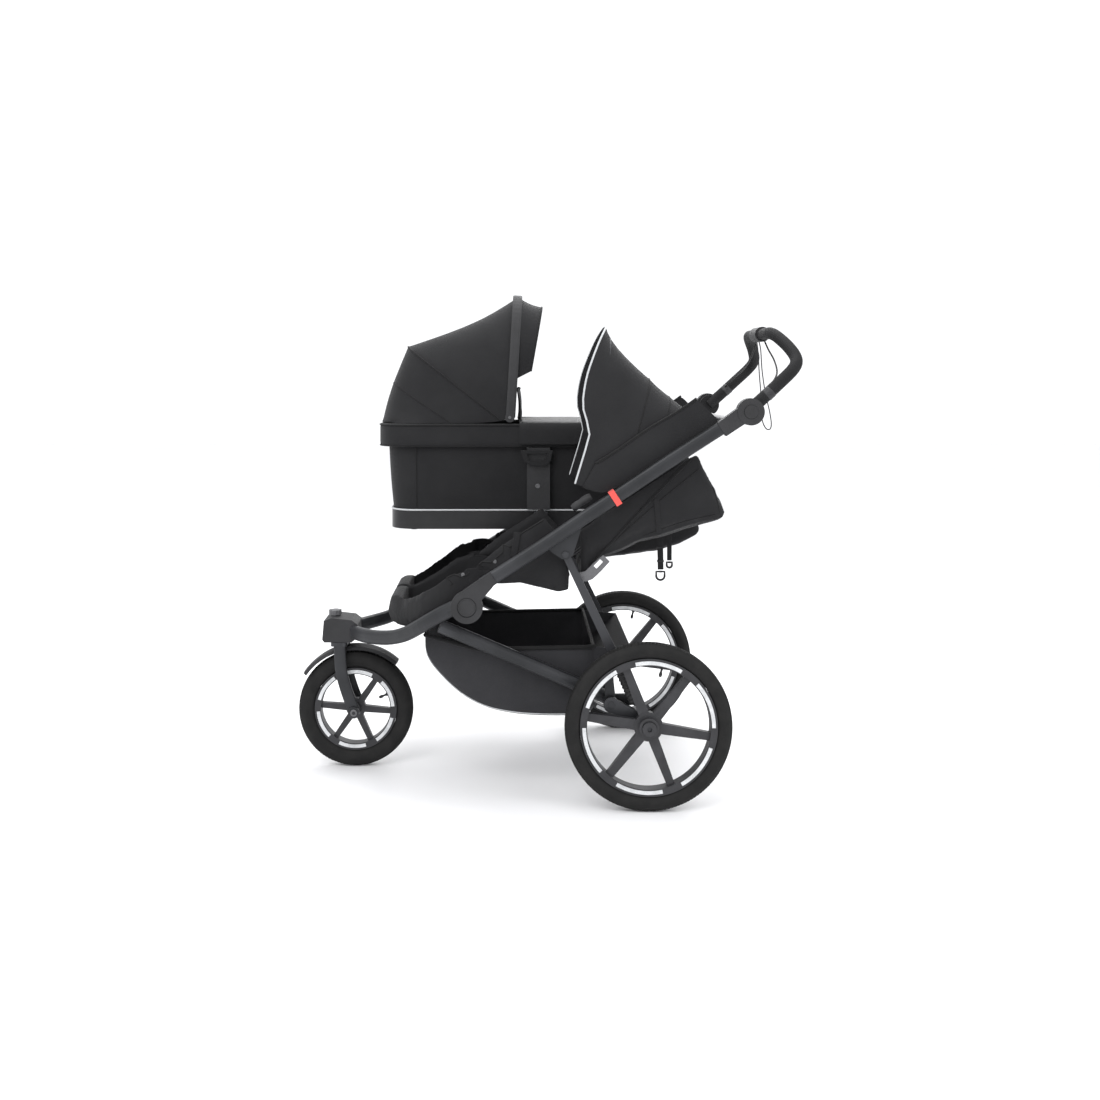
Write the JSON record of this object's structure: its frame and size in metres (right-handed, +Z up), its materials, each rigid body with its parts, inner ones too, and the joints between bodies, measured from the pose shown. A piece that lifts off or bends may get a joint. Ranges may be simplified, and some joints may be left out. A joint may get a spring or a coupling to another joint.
{
  "type": "jogging stroller",
  "caption": "Side-by-side three-wheel jogging stroller with a reclining canopied seat, a clip-on bassinet, a cargo basket, rear suspension and a folding frame.",
  "frame": {"origin": "centre of the bounding box on the floor, under the middle of the stroller", "axes": "-X is the front, -Y the left side as the person pushing sees it, +Z up"},
  "size_m": [1.2945, 0.776, 1.2728],
  "materials": {
    "frame_metal": "dark anodised, finely brushed",
    "moulded_plastic": "fine spark-eroded texture",
    "rim_plastic": "smooth satin moulding",
    "tyre_rubber": "matt moulded rubber",
    "boot_rubber": "soft ribbed rubber",
    "grip_foam": "fine-grained foam leather",
    "reflective_grey": "light reflective film",
    "grey_plastic": "smooth mid-grey moulding",
    "coral_strap": "woven webbing",
    "seat_fabric": "plain woven polyester",
    "canopy_fabric": "dense plain weave",
    "basket_fabric": "coated weave and mesh",
    "bassinet_fabric": "dense plain weave",
    "mattress_fabric": "knitted cover",
    "webbing": "woven webbing",
    "cord": "smooth cable jacket"
  },
  "bodies": {
    "chassis": {"front_tube_left": "frame_metal", "front_tube_right": "frame_metal", "front_housing": "moulded_plastic", "lower_tube_left": "frame_metal", "lower_tube_right": "frame_metal", "rear_cross_tube": "frame_metal", "basket": "basket_fabric", "footwell_left": "seat_fabric", "footwell_right": "seat_fabric", "suspension_boot_left": "boot_rubber", "suspension_boot_right": "boot_rubber"},
    "front_fork": {"fork": "frame_metal", "fender": "moulded_plastic", "steering_stem": "frame_metal"},
    "front_wheel": {"front_tyre": "tyre_rubber", "front_rim": "rim_plastic", "front_reflectors": "reflective_grey"},
    "lock_knob": {"swivel_lock_knob": "moulded_plastic"},
    "left_arm": {"swing_arm_left": "moulded_plastic"},
    "right_arm": {"swing_arm_right": "moulded_plastic"},
    "left_wheel": {"left_tyre": "tyre_rubber", "left_rim": "rim_plastic", "left_reflectors": "reflective_grey"},
    "right_wheel": {"right_tyre": "tyre_rubber", "right_rim": "rim_plastic", "right_reflectors": "reflective_grey"},
    "left_strut": {"strut_left": "frame_metal"},
    "right_strut": {"strut_right": "frame_metal"},
    "catch": {"transport_catch": "grey_plastic"},
    "upper_frame": {"side_tube_left": "frame_metal", "side_tube_right": "frame_metal", "fold_hubs": "moulded_plastic", "cross_bars": "frame_metal", "strut_brackets": "frame_metal", "red_band": "coral_strap", "seat_left": "seat_fabric", "seat_right": "seat_fabric", "backrest_right": "seat_fabric", "handle_hubs": "moulded_plastic", "bassinet_adapters": "moulded_plastic", "canopy": "canopy_fabric"},
    "handlebar": {"handlebar": "grip_foam", "brake_cables": "cord", "wrist_cord": "cord"},
    "left_button": {"handle_button_left": "moulded_plastic"},
    "right_button": {"handle_button_right": "moulded_plastic"},
    "brake_grip": {"brake_twist_grip": "moulded_plastic"},
    "left_backrest": {"backrest_left": "seat_fabric", "recline_strap": "webbing"},
    "canopy_front": {"canopy_hoop": "moulded_plastic"},
    "bassinet": {"bassinet_tub": "bassinet_fabric", "bassinet_base": "moulded_plastic", "bassinet_rim": "bassinet_fabric", "bassinet_mattress": "mattress_fabric", "hood": "bassinet_fabric", "apron": "bassinet_fabric", "bassinet_brackets": "moulded_plastic"},
    "loop_handle": {"release_loops": "moulded_plastic"},
    "hood_front": {"hood_bow": "moulded_plastic"},
    "sun_visor": {"visor": "bassinet_fabric"}
  },
  "joints": [
    {"name": "frame_fold", "type": "hinge", "parent": "chassis", "child": "upper_frame", "pos_m": [-0.1835, 0, 0.488], "axis": [0, 1, 0], "range_deg": [0, 41], "deforming": ["basket", "footwell_left", "footwell_right"]},
    {"name": "left_strut_fold", "type": "hinge", "parent": "chassis", "child": "left_strut", "pos_m": [0.2315, -0.295, 0.25], "axis": [0, 1, 0], "range_deg": [-32, 0]},
    {"name": "right_strut_fold", "type": "hinge", "parent": "chassis", "child": "right_strut", "pos_m": [0.2315, 0.295, 0.25], "axis": [0, 1, 0], "range_deg": [-32, 0]},
    {"name": "fork_swivel", "type": "hinge", "parent": "chassis", "child": "front_fork", "pos_m": [-0.5365, 0, 0.338], "axis": [0, 0, 1], "continuous": true},
    {"name": "front_wheel_spin", "type": "hinge", "parent": "front_fork", "child": "front_wheel", "pos_m": [-0.4935, 0, 0.154], "axis": [0, 1, 0], "continuous": true},
    {"name": "swivel_lock", "type": "hinge", "parent": "chassis", "child": "lock_knob", "pos_m": [-0.5505, 0, 0.404], "axis": [0, 0, 1], "range_deg": [0, 90]},
    {"name": "left_suspension", "type": "hinge", "parent": "chassis", "child": "left_arm", "pos_m": [0.1685, -0.32, 0.246], "axis": [0, 1, 0], "range_deg": [-12, 0], "stiffness_Nm_per_rad": 90, "springref_deg": 20.05, "deforming": ["suspension_boot_left"]},
    {"name": "right_suspension", "type": "hinge", "parent": "chassis", "child": "right_arm", "pos_m": [0.1685, 0.32, 0.246], "axis": [0, 1, 0], "range_deg": [-12, 0], "stiffness_Nm_per_rad": 90, "springref_deg": 20.05, "deforming": ["suspension_boot_right"]},
    {"name": "left_wheel_spin", "type": "hinge", "parent": "left_arm", "child": "left_wheel", "pos_m": [0.2555, -0.355, 0.203], "axis": [0, 1, 0], "continuous": true},
    {"name": "right_wheel_spin", "type": "hinge", "parent": "right_arm", "child": "right_wheel", "pos_m": [0.2555, 0.355, 0.203], "axis": [0, 1, 0], "continuous": true},
    {"name": "transport_catch_swing", "type": "hinge", "parent": "left_strut", "child": "catch", "pos_m": [0.0865, -0.2844, 0.551], "axis": [0, 1, 0], "range_deg": [0, 25], "stiffness_Nm_per_rad": 0.2, "springref_deg": -34.38},
    {"name": "handlebar_height", "type": "hinge", "parent": "upper_frame", "child": "handlebar", "pos_m": [0.5055, 0, 0.962], "axis": [0, 1, 0], "range_deg": [-25, 50]},
    {"name": "left_button_press", "type": "slide", "parent": "upper_frame", "child": "left_button", "axis": [0, 1, 0], "range_m": [0, 0.004], "stiffness_N_per_m": 400, "springref_m": -0.002},
    {"name": "right_button_press", "type": "slide", "parent": "upper_frame", "child": "right_button", "axis": [0, -1, 0], "range_m": [0, 0.004], "stiffness_N_per_m": 400, "springref_m": -0.002},
    {"name": "brake_twist", "type": "hinge", "parent": "handlebar", "child": "brake_grip", "pos_m": [0.5935, 0, 1.159], "axis": [0, 1, 0], "range_deg": [0, 40]},
    {"name": "seat_recline", "type": "hinge", "parent": "upper_frame", "child": "left_backrest", "pos_m": [0.0955, -0.162, 0.56], "axis": [0, 1, 0], "range_deg": [-12, 0]},
    {"name": "canopy_fold", "type": "hinge", "parent": "upper_frame", "child": "canopy_front", "pos_m": [0.3535, -0.178, 0.938], "axis": [0, 1, 0], "range_deg": [0, 40], "deforming": ["canopy"]},
    {"name": "bassinet_lift_off", "type": "slide", "parent": "chassis", "child": "bassinet", "axis": [0, 0, 1], "range_m": [0, 0.3]},
    {"name": "loop_handle_pull", "type": "slide", "parent": "bassinet", "child": "loop_handle", "axis": [0, 0, 1], "range_m": [0, 0.006], "stiffness_N_per_m": 200, "springref_m": -0.003},
    {"name": "hood_fold", "type": "hinge", "parent": "bassinet", "child": "hood_front", "pos_m": [-0.0795, 0.146, 0.936], "axis": [0, 1, 0], "range_deg": [-70, 0], "deforming": ["hood"]},
    {"name": "visor_flip", "type": "hinge", "parent": "hood_front", "child": "sun_visor", "pos_m": [-0.0795, 0.146, 0.936], "axis": [0, 1, 0], "range_deg": [0, 15]}
  ],
  "couplings": [
    {"joint": "left_strut_fold", "follows": "frame_fold", "ratio": -0.778},
    {"joint": "right_strut_fold", "follows": "frame_fold", "ratio": -0.778}
  ]
}
